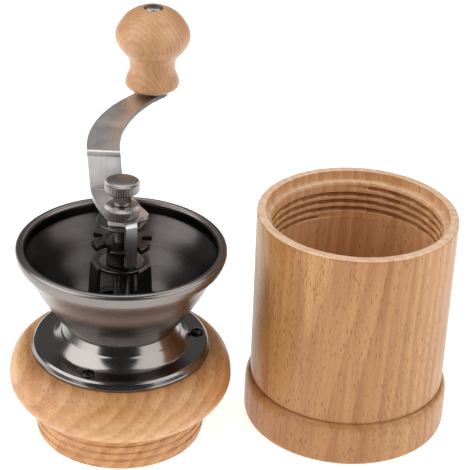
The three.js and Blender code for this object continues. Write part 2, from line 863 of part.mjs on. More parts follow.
// The same screw round a circle, numbered from 1.
function placeScrews(name, solid, look, circle, angles, seat) {
  angles.forEach((degrees, i) => {
    place(`${name}_${i + 1}`, solid, look, head, [...around(circle, degrees), seat]);
  });
}

place("jar", makeJar(), "wood", grinder);
place("wood_collar", makeCollar(), "wood");
place("flange", makeFlange(), "gunmetal");
place("hopper", makeHopper(), "gunmetal");
place("bridge", makeBridge(), "nickel");
place("bridge_bush", makeBridgeBush(), "bronze");
place("burr_housing", makeHousing(), "polymer");
place("burr_retainer", makeRetainer(), "steel");
place("outer_burr", makeOuterBurr(), "ceramic");
place("guide_spider", makeSpider(), "polymer");
place("guide_bush", makeGuideBush(), "bronze");

const flangeScrew = crossRecessed(panScrew(screws.flange), screws.flange.head,
  screws.flange.height, screws.flange.height * cross.depth);
placeScrews("flange_screw", flangeScrew, "blackSteel", flange.screwCircle, flange.screwAngles,
  flange.ring + SEAT_GAP);
placeScrews("housing_screw", panScrew(screws.housing), "steel", housing.screwCircle,
  housing.screwAngles, housing.flangeTop + SEAT_GAP);
placeScrews("bridge_screw", panScrew(screws.bridge), "blackSteel", bridge.screwCircle,
  bridge.legAngles, bridge.footTop + SEAT_GAP);
placeScrews("retainer_screw", panScrew(screws.retainer).rotate([180, 0, 0]), "steel",
  retainer.screwCircle, retainer.screwAngles, retainer.bottom - SEAT_GAP);

const shaftHole = shaft.radius + PLAY + SEAT_GAP;
place("adjuster_wheel", makeWheel(), "nickel");
place("thrust_washer", washer(washers.thrust, shaftHole), "polymer");
place("shaft", makeShaft(), "steel");
place("inner_burr", makeInnerBurr(), "ceramic");
place("spring", makeSpring(), "steel");
place("spring_washer", washer(washers.spring, shaftHole), "steel");
place("burr_washer", washer(washers.burr, STUD_BORE), "steel");
place("burr_nut", hexNut(nuts.burr, STUD_BORE), "steel");
place("drive_washer", makeDriveWasher(), "nickel");
place("crank_arm", makeCrank(), "nickel");
place("lock_nut", makeLockNut(), "nickel");
place("cap_nut", makeCapNut(), "nickel");

const gripAt = [grip.x, grip.y, 0];
place("knob", makeKnob(), "knobWood", head, gripAt);
place("knob_screw", makeKnobScrew(), "nickel", head, gripAt);
place("knob_washer", washer(washers.knob, grip.screw + PLAY), "blackSteel", head, gripAt);
place("knob_nut", hexNut(nuts.knob, grip.screw + PLAY), "nickel", head, gripAt);

export default grinder;
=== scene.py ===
"""A hand coffee grinder with a conical burr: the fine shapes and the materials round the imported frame.

Shapes are drawn in millimetres, round the axis that a piece turns on, and stored in metres.
"""
import math

import bmesh
import bpy
import numpy as np
from mathutils import Matrix, Vector


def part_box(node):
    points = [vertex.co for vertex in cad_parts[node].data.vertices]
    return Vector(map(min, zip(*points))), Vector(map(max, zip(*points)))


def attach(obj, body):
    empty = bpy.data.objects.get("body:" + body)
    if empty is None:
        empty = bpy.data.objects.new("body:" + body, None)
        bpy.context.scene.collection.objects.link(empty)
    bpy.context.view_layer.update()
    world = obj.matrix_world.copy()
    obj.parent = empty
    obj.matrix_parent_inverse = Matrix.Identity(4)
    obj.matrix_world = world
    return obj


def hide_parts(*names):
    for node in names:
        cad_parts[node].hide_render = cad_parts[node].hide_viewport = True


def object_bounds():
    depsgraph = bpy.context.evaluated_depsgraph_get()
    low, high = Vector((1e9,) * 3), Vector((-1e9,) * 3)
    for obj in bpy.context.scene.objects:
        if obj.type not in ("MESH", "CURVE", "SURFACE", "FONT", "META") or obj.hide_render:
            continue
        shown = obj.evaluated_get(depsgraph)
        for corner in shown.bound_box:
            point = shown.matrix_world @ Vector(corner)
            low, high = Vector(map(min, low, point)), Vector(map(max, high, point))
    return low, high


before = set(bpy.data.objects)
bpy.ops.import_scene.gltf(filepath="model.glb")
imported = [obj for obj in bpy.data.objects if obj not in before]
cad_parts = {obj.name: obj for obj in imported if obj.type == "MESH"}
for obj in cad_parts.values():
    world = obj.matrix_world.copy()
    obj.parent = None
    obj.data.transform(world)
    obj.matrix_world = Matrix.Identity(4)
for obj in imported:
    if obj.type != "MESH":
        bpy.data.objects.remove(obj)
cad_low, cad_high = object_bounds()

MM = 0.001
TURN = 2 * math.pi


# ------------------------------------------------------------ places from the frame
def span(node):
    """The lowest and highest corner of a CAD node, in millimetres."""
    low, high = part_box(node)
    return low / MM, high / MM


def axis_of(node):
    """The vertical axis through the middle of a CAD node, as (x, y) in millimetres."""
    low, high = span(node)
    return (low.x + high.x) / 2, (low.y + high.y) / 2


def levels(node):
    """The lowest and highest z of a CAD node, in millimetres."""
    low, high = span(node)
    return low.z, high.z


def reach(node):
    """Half the width of a round CAD node, in millimetres."""
    low, high = span(node)
    return (high.x - low.x) / 2


JAR_AXIS = axis_of("jar")
HEAD_AXIS = axis_of("hopper")
GRIP_AXIS = axis_of("knob")

# ------------------------------------------------------------ driving sizes
# steps round a turned piece
FINE = 224  # the wooden jar and collar and the sheet metal
GRIP_STEPS = 128
MEDIUM = 96
COARSE = 64
SCREW_STEPS = 40
HOLE_STEPS = 32
STEPS_PER_TOOTH = 6  # round the knurled nuts

TINY = 1e-6  # in millimetres; what is nearer than this counts as the same place
RELIEF_STEP = 0.22  # height of the rows that carry a wooden thread
JAR_STAIN = 22.3  # height of the dark line above the jar's base ring
WOOD_THREAD = {"pitch": 4.0, "depth": 1.3, "crest": 1.2, "root": 2.6}
SHAFT_THREAD = {"pitch": 1.25, "depth": 0.6, "crest": 0.2, "root": 1.1}
FLANGE_SCREW = {"circle": 37.0, "angles": (250, 10, 130)}
BRIDGE_LEGS = {"circle": 18.9, "angles": (207, 327, 87)}
TAB_ANGLE = 297.5  # where the crank's tab drops into the wheel
NOTCHES = 6
KNURL_TEETH = 64
SHEET = 2.0  # thickness of the crank's strip


# ------------------------------------------------------------ outlines
def rounded(corners, steps=5):
    """A closed outline with its corners rounded. A corner is (x, y) or (x, y, radius)."""
    outline = []
    count = len(corners)
    for i, corner in enumerate(corners):
        here = Vector(corner[:2])
        radius = corner[2] if len(corner) > 2 else 0
        back = Vector(corners[i - 1][:2]) - here
        ahead = Vector(corners[(i + 1) % count][:2]) - here
        if radius <= 0 or min(back.length, ahead.length) < TINY:
            outline.append(tuple(here))
            continue
        half = back.angle(ahead) / 2
        if half > math.pi / 2 - 0.02:
            outline.append(tuple(here))
            continue
        cut = min(radius / math.tan(half), back.length * 0.49, ahead.length * 0.49)
        middle = here + (back.normalized() + ahead.normalized()).normalized() * (cut / math.cos(half))
        start = here + back.normalized() * cut - middle
        end = here + ahead.normalized() * cut - middle
        for k in range(steps + 1):
            part = k / steps
            arm = start.lerp(end, part).normalized() * start.length
            outline.append(tuple(middle + arm))
    return outline


def curve(points, steps=6):
    """A smooth open curve through the points."""
    knots = [np.array(p, float) for p in points]
    knots = [2 * knots[0] - knots[1], *knots, 2 * knots[-1] - knots[-2]]
    outline = []
    for a, b, c, d in zip(knots, knots[1:], knots[2:], knots[3:]):
        for k in range(steps):
            t = k / steps
            place = (2 * b + (c - a) * t + (2 * a - 5 * b + 4 * c - d) * t**2
                     + (3 * b - a - 3 * c + d) * t**3) / 2
            outline.append(tuple(place))
    outline.append(tuple(knots[-2]))
    return outline


def divided(profile, start, end, step):
    """The same profile with extra points on its lines between two heights, for fine relief."""
    outline = []
    for here, ahead in zip(profile, profile[1:] + profile[:1]):
        outline.append(here)
        inside = start - TINY <= min(here[1], ahead[1]) and max(here[1], ahead[1]) <= end + TINY
        parts = round(abs(ahead[1] - here[1]) / step)
        if inside and parts > 1:
            for k in range(1, parts):
                t = k / parts
                outline.append((here[0] + (ahead[0] - here[0]) * t, here[1] + (ahead[1] - here[1]) * t))
    return outline


def around(radius, degrees):
    """The point (x, y) at a radius and an angle."""
    return radius * math.cos(math.radians(degrees)), radius * math.sin(math.radians(degrees))


def rectangle(half_x, half_y):
    """The corners of a rectangle round the middle."""
    return [(-half_x, -half_y), (half_x, -half_y), (half_x, half_y), (-half_x, half_y)]


SHAFT_FLATS = rectangle(3.1, 2.9)  # the hole that fits the flats on the shaft's end


# ------------------------------------------------------------ meshes
def new_piece(name, places, faces, axis=(0, 0)):
    """A mesh object from places in millimetres round an axis, with its faces pointing out."""
    mesh = bpy.data.meshes.new(name)
    shift = np.array([axis[0], axis[1], 0.0])
    mesh.from_pydata(((np.asarray(places, float) + shift) * MM).tolist(), [], faces)
    work = bmesh.new()
    work.from_mesh(mesh)
    bmesh.ops.remove_doubles(work, verts=work.verts, dist=1e-7)
    bmesh.ops.recalc_face_normals(work, faces=work.faces)
    work.to_mesh(mesh)
    work.free()
    obj = bpy.data.objects.new(name, mesh)
    bpy.context.scene.collection.objects.link(obj)
    return obj


def turned(name, profile, steps, axis=HEAD_AXIS, relief=None):
    """Turns a closed profile of (radius, z) round an axis. relief(r, z, angle) adds to the radius."""
    angles = np.arange(steps) * TURN / steps
    places, rows = [], []
    for radius, z in profile:
        if radius < TINY:
            rows.append([len(places)] * steps)
            places.append((0.0, 0.0, z))
            continue
        wide = np.full(steps, float(radius))
        if relief is not None:
            wide = wide + relief(wide, np.full(steps, float(z)), angles)
        rows.append(list(range(len(places), len(places) + steps)))
        places.extend(zip(wide * np.cos(angles), wide * np.sin(angles), [z] * steps))
    faces = []
    for low, high in zip(rows, rows[1:] + rows[:1]):
        for k in range(steps):
            n = (k + 1) % steps
            corners = list(dict.fromkeys((low[k], low[n], high[n], high[k])))
            if len(corners) > 2:
                faces.append(corners)
    return new_piece(name, places, faces, axis)


def skinned(name, places, axis):
    """A closed piece between two outlines, which are the two halves of a list of places."""
    count = len(places) // 2
    sides = [(i, (i + 1) % count, (i + 1) % count + count, i + count) for i in range(count)]
    faces = [tuple(reversed(range(count))), tuple(range(count, 2 * count)), *sides]
    return new_piece(name, places, faces, axis)


def prism(name, outline, bottom, top, axis=HEAD_AXIS):
    """An upright prism on an outline of (x, y) points."""
    return skinned(name, [(x, y, z) for z in (bottom, top) for x, y in outline], axis)


def upright_strip(name, outline, width, degrees, axis=HEAD_AXIS):
    """A strip with a side view of (radial, z) points, swung round the axis to an angle."""
    turn = np.array([around(1, degrees), around(1, degrees + 90)])
    places = []
    for side in (-width / 2, width / 2):
        for radial, z in outline:
            x, y = radial * turn[0] + side * turn[1]
            places.append((x, y, z))
    return skinned(name, places, axis)


def settle(obj):
    """Applies the object's modifiers to its mesh."""
    graph = bpy.context.evaluated_depsgraph_get()
    mesh = bpy.data.meshes.new_from_object(obj.evaluated_get(graph))
    obj.modifiers.clear()
    old = obj.data
    obj.data = mesh
    bpy.data.meshes.remove(old)
    return obj


def combine(obj, others, operation="DIFFERENCE"):
    """Cuts the others from obj, or joins them to it, and removes them."""
    for other in others:
        step = obj.modifiers.new("combine", "BOOLEAN")
        step.object = other
        step.operation = operation
        step.solver = "EXACT"
        settle(obj)
        bpy.data.objects.remove(other)
    return obj


def softened(obj, width, steps=2, angle=35):
    """Rounds the sharp edges of a piece."""
    work = bmesh.new()
    work.from_mesh(obj.data)
    bmesh.ops.remove_doubles(work, verts=work.verts, dist=1e-6)
    bmesh.ops.dissolve_degenerate(work, dist=1e-6, edges=work.edges)
    work.to_mesh(obj.data)
    work.free()
    step = obj.modifiers.new("edges", "BEVEL")
    step.width = width * MM
    step.segments = steps
    step.limit_method = "ANGLE"
    step.angle_limit = math.radians(angle)
    return settle(obj)


def finished(obj, body, node, material, sharp=40):
    """Smooth shading, a material, and the place of the piece in the frame."""
    obj.data.shade_smooth()
    obj.data.set_sharp_from_angle(angle=math.radians(sharp))
    step = obj.modifiers.new("normals", "WEIGHTED_NORMAL")
    step.keep_sharp = True
    settle(obj)
    obj.data.materials.clear()
    obj.data.materials.append(material)
    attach(obj, body)
    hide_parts(node)
    return obj


def repaint(obj, material, chosen, axis=HEAD_AXIS):
    """A second material for the faces that chosen(radius, z, outward, normal) picks."""
    obj.data.materials.append(material)
    index = len(obj.data.materials) - 1
    for face in obj.data.polygons:
        x, y, z = face.center / MM
        arm = Vector((x - axis[0], y - axis[1], 0))
        if chosen(arm.length, z, face.normal.dot(arm.normalized()), face.normal):
            face.material_index = index


# ------------------------------------------------------------ reliefs
def thread_relief(thread, bottom, turns, start, low_radius, high_radius, fade):
    """Extra radius of a screw thread that starts at an angle, on walls between two radii. Both ends
    fade out over a share of a turn."""
    pitch = thread["pitch"]
    half_root, half_crest = thread["root"] / 2, thread["crest"] / 2

    def relief(radius, z, angle):
        swing = np.mod(angle - math.radians(start), TURN) / TURN
        lap = np.round((z - bottom) / pitch - swing)
        along = lap + swing
        away = np.abs(z - bottom - along * pitch)
        height = np.clip((half_root - away) / (half_root - half_crest), 0, 1)
        height = np.sin(height * math.pi / 2) ** 1.4  # round at the crest, hollow at the root
        run = np.clip(np.minimum(along, turns - along) / fade, 0, 1)
        wall = (radius > low_radius) & (radius < high_radius)
        return thread["depth"] * height * run * wall

    return relief


def knurl_relief(bottom, top, radius, depth=0.55):
    """V grooves round a rim between two heights."""

    def relief(wide, z, angle):
        wave = np.abs(np.mod(angle * KNURL_TEETH / TURN, 1) * 2 - 1)
        ends = np.clip((z - bottom) / 0.5, 0, 1) * np.clip((top - z) / 0.5, 0, 1)
        return -depth * (1 - wave) * ends * (wide > radius - 1.2)

    return relief


# ------------------------------------------------------------ material helpers
def srgb(*screen):
    """A linear colour with alpha from 8-bit red, green and blue screen values."""
    linear = (((c / 255 + 0.055) / 1.055) ** 2.4 if c > 10 else c / 3295 for c in screen)
    return *linear, 1


def darker(colour, share):
    return [c * share for c in colour[:3]] + [1]


class Shader:
    """A material with a Principled shader, and short calls that add nodes to it."""

    def __init__(self, name, **sockets):
        self.material = bpy.data.materials.new(name)
        self.material.use_nodes = True
        self.tree = self.material.node_tree
        self.main = self.tree.nodes["Principled BSDF"]
        self.place = self.add("ShaderNodeTexCoord").outputs["Object"]
        for key, value in sockets.items():
            self.main.inputs[key.replace("_", " ")].default_value = value

    def add(self, kind, inputs=(), **settings):
        node = self.tree.nodes.new(kind)
        for key, value in settings.items():
            setattr(node, key, value)
        for key, value in dict(inputs).items():
            self.feed(node.inputs[key], value)
        return node

    def feed(self, socket, value):
        if isinstance(value, bpy.types.NodeSocket):
            self.tree.links.new(value, socket)
        else:
            socket.default_value = value

    def math(self, operation, a, b=0.0, clamp=False):
        node = self.add("ShaderNodeMath", {0: a, 1: b}, operation=operation, use_clamp=clamp)
        return node.outputs[0]

    def vector(self, operation, a, b=(0, 0, 0)):
        return self.add("ShaderNodeVectorMath", {0: a, 1: b}, operation=operation).outputs["Vector"]

    def length(self, a):
        return self.add("ShaderNodeVectorMath", {0: a}, operation="LENGTH").outputs["Value"]

    def moved(self, place, shift=(0, 0, 0), turn=(0, 0, 0), scale=(1, 1, 1)):
        inputs = {"Vector": place, "Location": shift, "Rotation": turn, "Scale": scale}
        return self.add("ShaderNodeMapping", inputs).outputs["Vector"]

    def noise(self, place, scale=1.0, detail=2.0, roughness=0.5):
        inputs = {"Vector": place, "Scale": scale, "Detail": detail, "Roughness": roughness}
        return self.add("ShaderNodeTexNoise", inputs).outputs["Fac"]

    def colour_noise(self, place):
        return self.add("ShaderNodeTexNoise", {"Vector": place, "Scale": 1.0}).outputs["Color"]

    def dashes(self, along, scale, share):
        """Short dark marks along the fibres: a share of the cells of a stretched pattern holds one."""
        cells = self.moved(along, scale=scale)
        dots = self.add("ShaderNodeTexVoronoi", {"Vector": cells, "Scale": 1.0, "Randomness": 1.0})
        pick = self.add("ShaderNodeSeparateColor", {0: dots.outputs["Color"]}).outputs[0]
        dash = self.ramp(dots.outputs["Distance"], 0.42, 0.2)
        return self.math("MULTIPLY", dash, self.math("LESS_THAN", pick, share))

    def ramp(self, value, low, high, start=0.0, end=1.0):
        """value between low and high, mapped smoothly to start and end."""
        inputs = {"Value": value, "From Min": low, "From Max": high, "To Min": start, "To Max": end}
        node = self.add("ShaderNodeMapRange", inputs, interpolation_type="SMOOTHSTEP")
        return node.outputs["Result"]

    def mix(self, share, a, b, blend="MIX"):
        node = self.add("ShaderNodeMix", data_type="RGBA", blend_type=blend)
        for socket, value in zip((node.inputs[0], node.inputs[6], node.inputs[7]), (share, a, b)):
            self.feed(socket, value)
        return node.outputs[2]

    def bump(self, height, strength, distance):
        inputs = {"Height": height, "Strength": strength, "Distance": distance * MM}
        self.feed(self.main.inputs["Normal"], self.add("ShaderNodeBump", inputs).outputs["Normal"])


# ------------------------------------------------------------ woods
STAIN_COLOUR = srgb(150, 84, 34)


def wood(name, light, dark, pore, grain, pith, ring_gap, pores=1.0, stain=None):
    """Lacquered wood. grain turns the object's frame so that Z runs along the fibres, pith is the
    heart of the trunk in it, ring_gap is the mean width of a year and stain the height of a dark
    line, all three in millimetres."""
    s = Shader(name, Roughness=0.42, Coat_Weight=0.25, Coat_Roughness=0.2, Specular_IOR_Level=0.4)
    along = s.moved(s.place, shift=[-p * MM for p in pith], turn=grain)
    wander = s.colour_noise(s.moved(along, scale=(22, 22, 4)))
    wander = s.vector("MULTIPLY", s.vector("SUBTRACT", wander, (0.5, 0.5, 0.5)), (0.016, 0.016, 0))
    across = s.vector("MULTIPLY", s.vector("ADD", along, wander), (1, 1, 0))
    year = s.math("FRACT", s.math("MULTIPLY", s.length(across), 1 / (ring_gap * MM)))
    late = s.math("MULTIPLY", s.ramp(year, 0.1, 0.85), s.ramp(year, 1.0, 0.9))
    drift = s.noise(s.moved(along, scale=(30, 30, 5)), detail=2)
    fibre = s.noise(s.moved(along, scale=(1500, 1500, 45)), detail=3, roughness=0.65)
    streak = s.noise(s.moved(along, scale=(260, 260, 9)), detail=2)
    tone = s.math("MULTIPLY", late, 0.4)
    tone = s.math("ADD", tone, s.ramp(drift, 0.3, 0.7, 0.0, 0.4))
    tone = s.math("ADD", tone, s.ramp(streak, 0.25, 0.75, -0.1, 0.3), clamp=True)
    colour = s.mix(tone, light, dark)
    colour = s.mix(s.ramp(fibre, 0.35, 0.75, 0.0, 0.22), colour, pore)
    crowd = s.ramp(s.noise(s.moved(along, scale=(26, 26, 6)), detail=2), 0.35, 0.62, 0.25, 1.0)
    coarse = s.dashes(along, (1150, 1150, 230), s.math("MULTIPLY", crowd, 0.5 * pores))
    fine = s.dashes(along, (1900, 1900, 330), s.math("MULTIPLY", crowd, 0.6 * pores))
    vessels = s.math("MAXIMUM", coarse, s.math("MULTIPLY", fine, 0.7))
    colour = s.mix(s.math("MULTIPLY", vessels, 0.62), colour, pore)
    if stain is not None:
        height = s.add("ShaderNodeSeparateXYZ", {0: s.place}).outputs["Z"]
        away = s.math("ABSOLUTE", s.math("SUBTRACT", height, stain * MM))
        colour = s.mix(s.ramp(away, 0.0, 0.8 * MM, 0.7, 0.0), colour, STAIN_COLOUR)
    s.feed(s.main.inputs["Base Color"], colour)
    s.feed(s.main.inputs["Roughness"], s.ramp(fibre, 0.2, 0.8, 0.38, 0.52))
    s.bump(s.math("SUBTRACT", s.math("MULTIPLY", fibre, 0.25), vessels), 0.3, 0.1)
    return s.material


# ------------------------------------------------------------ metals and others
def polished(name, colour, roughness, axis, lines=0.03, teeth=0):
    """Plated metal with faint turning marks round a vertical axis, and painted shade: dark stripes in the
    gaps between teeth.
    """
    s = Shader(name, Metallic=1.0)
    centred = s.vector("SUBTRACT", s.place, (axis[0] * MM, axis[1] * MM, 0))
    reach_out = s.length(s.vector("MULTIPLY", centred, (1, 1, 0)))
    parts = s.add("ShaderNodeSeparateXYZ", {0: centred}).outputs
    marks = s.add("ShaderNodeCombineXYZ", {0: reach_out, 1: parts["Z"]}).outputs[0]
    marks = s.noise(s.moved(marks, scale=(2600, 2600, 1)), detail=3, roughness=0.7)
    cloud = s.noise(s.place, scale=45, detail=3)
    tint = s.mix(s.ramp(cloud, 0.3, 0.7, 0.0, 0.25), colour, darker(colour, 0.8))
    if teeth:
        swing = s.math("MULTIPLY", s.math("ARCTAN2", parts["Y"], parts["X"]), teeth / TURN)
        wave = s.math("ABSOLUTE", s.math("SUBTRACT", s.math("FRACT", s.math("ADD", swing, teeth)), 0.5))
        # painted shade: the gaps between the teeth turn near-black in the base colour
        tint = s.mix(s.ramp(wave, 0.1, 0.34, 0.92, 0.0), tint, (0.012, 0.011, 0.01, 1))
    s.feed(s.main.inputs["Base Color"], tint)
    rough = s.math("ADD", s.ramp(cloud, 0.3, 0.7, roughness * 0.9, roughness * 1.15),
                   s.ramp(marks, 0.3, 0.7, 0.0, 0.06))
    s.feed(s.main.inputs["Roughness"], rough)
    s.bump(marks, lines, 0.05)
    return s.material


def brushed(name, colour, roughness, stretch, lines=0.08):
    """Satin metal with fine straight marks; stretch is the scale of the marks on each axis."""
    s = Shader(name, Metallic=1.0)
    marks = s.noise(s.moved(s.place, scale=stretch), detail=3, roughness=0.7)
    cloud = s.noise(s.place, scale=70, detail=3)
    tint = s.mix(s.ramp(marks, 0.3, 0.7, 0.0, 0.3), colour, darker(colour, 0.72))
    s.feed(s.main.inputs["Base Color"], tint)
    rough = s.math("ADD", s.ramp(cloud, 0.3, 0.7, roughness * 0.85, roughness * 1.2),
                   s.ramp(marks, 0.3, 0.7, 0.0, 0.08))
    s.feed(s.main.inputs["Roughness"], rough)
    s.bump(marks, lines, 0.04)
    return s.material


def plain(name, colour, roughness, metallic=0.0, grain=900, lines=0.12):
    """Moulded, cast or sintered stuff with a fine even grain."""
    s = Shader(name, Metallic=metallic)
    speck = s.noise(s.place, scale=grain, detail=3, roughness=0.7)
    cloud = s.noise(s.place, scale=60, detail=2)
    colour = s.mix(s.ramp(cloud, 0.3, 0.7, 0.0, 0.3), colour, darker(colour, 0.8))
    s.feed(s.main.inputs["Base Color"], colour)
    s.feed(s.main.inputs["Roughness"], s.ramp(speck, 0.3, 0.7, roughness * 0.88, roughness * 1.12))
    s.bump(speck, lines, 0.05)
    return s.material


JAR_GRAIN = {"grain": (0.02, -0.03, 0), "pith": (70, 95, 0), "ring_gap": 5.5}
JAR_WOOD = wood("jar_wood", srgb(202, 151, 92), srgb(166, 108, 57), srgb(112, 56, 24),
                stain=JAR_STAIN, **JAR_GRAIN)
# painted light: a lighter copy of the jar's wood for its inner wall and floor, standing in for light falling
# into the jar
JAR_INSIDE_PAINTED_LIGHT = wood("jar_inside_painted_light", srgb(236, 190, 140), srgb(206, 150, 98), srgb(140, 80, 42),
                  pores=0.4, **JAR_GRAIN)
# painted shade: a darker copy of the jar's wood for the groove of the inner thread
JAR_GROOVE_PAINTED_SHADE = wood("jar_groove_painted_shade", srgb(178, 126, 80), srgb(140, 90, 52), srgb(100, 54, 28),
                  pores=0.4, **JAR_GRAIN)
# painted highlight: a paler copy of the jar's wood for the lip's upward faces, standing in for a reflection
# of the light above
JAR_LIP_PAINTED_HIGHLIGHT = wood("jar_lip_painted_highlight", srgb(240, 208, 178), srgb(218, 174, 134), srgb(150, 96, 60),
               pores=0.4, **JAR_GRAIN)
COLLAR_WOOD = wood("collar_wood", srgb(222, 172, 116), srgb(186, 124, 72), srgb(136, 74, 38), pores=0.8,
                   grain=(math.radians(76), 0, math.radians(-18)), pith=(-40, 30, 30), ring_gap=7.5)
KNOB_WOOD = wood("knob_wood", srgb(216, 169, 124), srgb(190, 138, 94), srgb(160, 106, 68),
                 grain=(math.radians(-14), 0, 0), pith=(-121, 78, 0), ring_gap=1.9, pores=0.12)
HOPPER_METAL = polished("hopper_metal", (0.24, 0.215, 0.205, 1), 0.24, HEAD_AXIS, 0.004)
# painted shade: a much darker copy of the hopper's plating for its inner wall
HOPPER_INSIDE_PAINTED_SHADE = polished("hopper_inside_painted_shade", (0.085, 0.077, 0.073, 1), 0.25, HEAD_AXIS, 0.003)
FLANGE_METAL = polished("flange_metal", (0.27, 0.25, 0.24, 1), 0.15, HEAD_AXIS, 0.01)
TURNED_NICKEL = polished("turned_nickel", (0.38, 0.35, 0.335, 1), 0.26, HEAD_AXIS, 0.03)
# painted shade: the knurled nickel with dark stripes painted between its teeth
KNURLED_NICKEL_PAINTED_SHADE = polished("knurled_nickel_painted_shade", (0.42, 0.385, 0.37, 1), 0.28, HEAD_AXIS, 0.03, KNURL_TEETH)
WHEEL_NICKEL = polished("wheel_nickel", (0.11, 0.1, 0.094, 1), 0.28, HEAD_AXIS, 0.03)
ARM_NICKEL = brushed("arm_nickel", (0.72, 0.69, 0.67, 1), 0.33, (1800, 45, 45), 0.04)
# painted shade: a darker copy of the arm's nickel for its upright edge faces
ARM_EDGE_PAINTED_SHADE = brushed("arm_edge_painted_shade", (0.13, 0.12, 0.115, 1), 0.34, (300, 300, 900), 0.04)
DARK_NICKEL = brushed("dark_nickel", (0.16, 0.146, 0.138, 1), 0.26, (500, 500, 60))
SHAFT_STEEL = polished("shaft_steel", (0.17, 0.155, 0.148, 1), 0.28, HEAD_AXIS, 0.02)
BLACK_STEEL = plain("black_steel", (0.05, 0.047, 0.045, 1), 0.3, 1.0, 1200)
STEEL = brushed("steel", (0.48, 0.48, 0.49, 1), 0.28, (300, 300, 900))
CERAMIC = plain("ceramic", srgb(233, 230, 223), 0.42, 0.0, 1500, 0.05)
BRONZE = plain("bronze", (0.52, 0.3, 0.13, 1), 0.4, 1.0, 1800)
POLYMER = plain("polymer", srgb(34, 34, 37), 0.5, 0.0, 1500)


# ------------------------------------------------------------ wooden pieces
def make_jar():
    _, top = levels("jar")
    wide = reach("jar")
    body, lip_outer, lip_inner, bore, cavity, floor = 47.6, 48.2, 43.9, 41.0, 41.3, 9.0
    lip_floor = top - 5
    thread_top = lip_floor - 1.5
    turns, thread_angle = 4, 97
    thread_bottom = thread_top - turns * WOOD_THREAD["pitch"] - WOOD_THREAD["root"]
    base = curve([(wide - 0.8, 0.1), (wide - 0.35, 1.1), (wide - 0.15, 3), (wide - 0.07, 9),
                  (wide - 0.07, 15), (wide - 0.2, 18), (wide - 0.75, 20.3), (wide - 1.7, 21.6),
                  (body - 0.1, 22.2)])
    profile = [(0, 0), (wide - 1.2, 0), *base, (body - 0.1, 22.6), (body, 23.0), (body + 0.15, 25)]
    profile += rounded([(lip_outer, top - 4), (lip_outer, top, 1.3), (lip_inner, top, 0.5),
                        (lip_inner, lip_floor, 0.3), (bore + 0.6, lip_floor, 0.8), (bore, thread_top)])
    profile += [(bore, thread_bottom), (cavity, thread_bottom - 0.8), (cavity, 60), (cavity, floor + 4)]
    profile += curve([(cavity, floor + 4), (cavity - 1.2, floor + 1.3), (cavity - 4, floor)], 5)[1:]
    profile += [(20, floor), (0, floor)]
    profile = divided(profile, thread_bottom, thread_top, RELIEF_STEP)
    groove = thread_relief(WOOD_THREAD, thread_bottom + WOOD_THREAD["root"] / 2, turns, thread_angle,
                           bore - 0.4, bore + 0.25, 0.12)
    jar = turned("turned_jar", profile, FINE, JAR_AXIS, groove)
    finished(jar, "jar", "jar", JAR_WOOD)

    # painted light: the inner wall and floor take the lighter copy of the wood
    def inside(radius, z, outward, normal):
        return outward < -0.3 or radius < cavity - 1

    # painted shade: the groove of the inner thread takes the darker copy of the wood
    def in_painted_shade_groove(radius, z, outward, normal):
        return bore + 0.5 < radius < bore + 1.6 and thread_bottom < z < thread_top

    # painted highlight: the lip's upward faces take the paler copy of the wood
    def on_painted_highlight_lip(radius, z, outward, normal):
        return normal.z > 0.5 and z > lip_floor - 0.5

    for material, chosen in ((JAR_INSIDE_PAINTED_LIGHT, inside), (JAR_GROOVE_PAINTED_SHADE, in_painted_shade_groove), (JAR_LIP_PAINTED_HIGHLIGHT, on_painted_highlight_lip)):
        repaint(jar, material, chosen, JAR_AXIS)


def make_collar():
    wide = reach("wood_collar")
    neck_root, neck_foot, neck_top, mouth = 40.4, 40.1, 18.5, 35.0
    shoulder, bulge_at, top, top_radius, spigot, spigot_top = 44.0, 30.0, 45.0, 43.8, 41.2, 48.2
    seat_radius, seat, bore = 34.0, 44.0, 27.0
    under_round, upper_round, steps = 1.6, 2.15, 16
    worn = {**WOOD_THREAD, "depth": 0.6, "crest": 2.0, "root": 3.4}
    turns, thread_angle, thread_bottom = 3.6, 135, 0.6

    def quarter(end_radius, end_z, exponent):
        """A quarter of a superellipse, from the widest place of the bulge to its end."""
        points = []
        for i in range(steps + 1):
            angle = math.pi / 2 * i / steps
            out = math.cos(angle) ** (2 / exponent) if i < steps else 0
            up = math.sin(angle) ** (2 / exponent) if i else 0
            points.append((end_radius + (wide - end_radius) * out, bulge_at + (end_z - bulge_at) * up))
        return points

    profile = rounded([(mouth, 0, 0.4), (neck_foot, 0, 0.2), (neck_root, 0.6), (neck_root, neck_top, 0.4),
                       (shoulder - 0.3, neck_top, 0.4), (shoulder + 0.2, neck_top + 0.4)])
    profile += quarter(shoulder, neck_top, under_round)[-2::-1]
    profile += quarter(top_radius, top, upper_round)[1:-1]
    profile += rounded([(top_radius, top, 0.3), (spigot, top, 0.2), (spigot, spigot_top, 0.3),
                        (seat_radius, spigot_top, 0.3), (seat_radius, seat, 0.2), (bore, seat, 0.3)])
    profile += curve([(bore, neck_top + 6), (bore + 0.6, neck_top), (mouth - 1, 1.6)], 5)
    profile = divided(profile, 0.5, neck_top, RELIEF_STEP)
    ridge = thread_relief(worn, thread_bottom + WOOD_THREAD["root"] / 2, turns, thread_angle,
                          neck_root - 0.2, neck_root + 0.2, 0.15)
    collar = turned("turned_collar", profile, FINE, HEAD_AXIS, ridge)
    finished(collar, "head", "wood_collar", COLLAR_WOOD)


